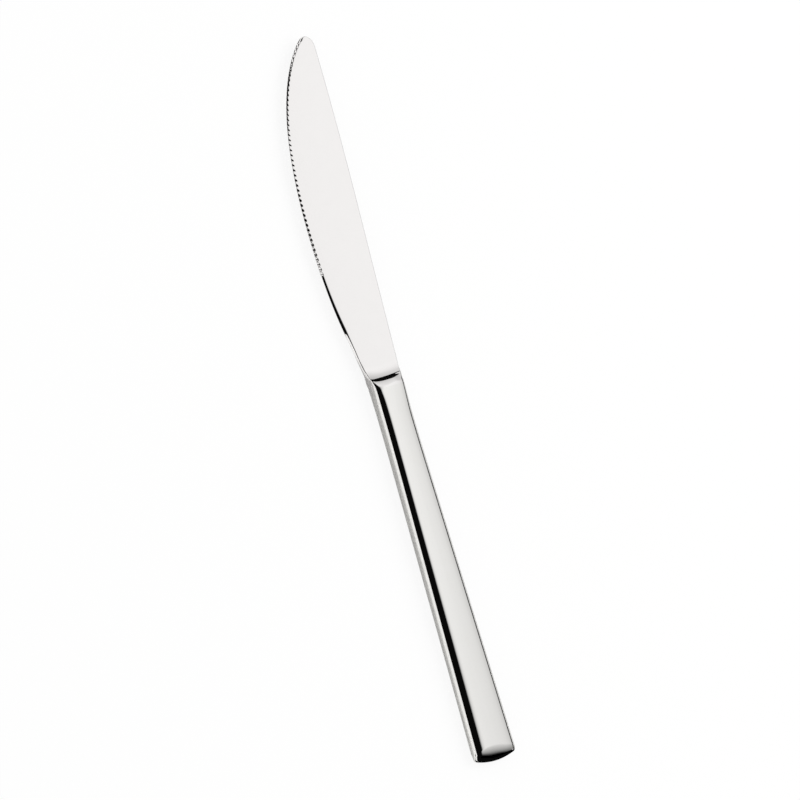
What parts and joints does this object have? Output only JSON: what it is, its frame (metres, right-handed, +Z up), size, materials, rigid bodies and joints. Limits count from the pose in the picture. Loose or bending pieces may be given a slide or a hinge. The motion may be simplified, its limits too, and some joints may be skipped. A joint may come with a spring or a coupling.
{
  "type": "table knife",
  "caption": "Polished stainless table knife with a micro-serrated blade, a stepped shoulder and a flaring rectangular hollow handle.",
  "frame": {"origin": "middle of the handle's flat back face, halfway along the handle, on the surface that the knife lies on", "axes": "+X along the knife towards the blade's tip, +Y towards the cutting edge, -Y towards the spine, +Z up out of the front face"},
  "size_m": [0.23, 0.0197, 0.0067],
  "materials": {
    "blade_steel": "mirror polished stainless steel",
    "handle_steel": "mirror polished stainless steel",
    "braze": "silver braze, polished flush",
    "cement": "set resin cement, hidden inside the handle"
  },
  "bodies": {
    "root": {"blade": "blade_steel", "front_shell": "handle_steel", "back_shell": "handle_steel", "seam_braze": "braze", "handle_cement": "cement"}
  },
  "joints": []
}
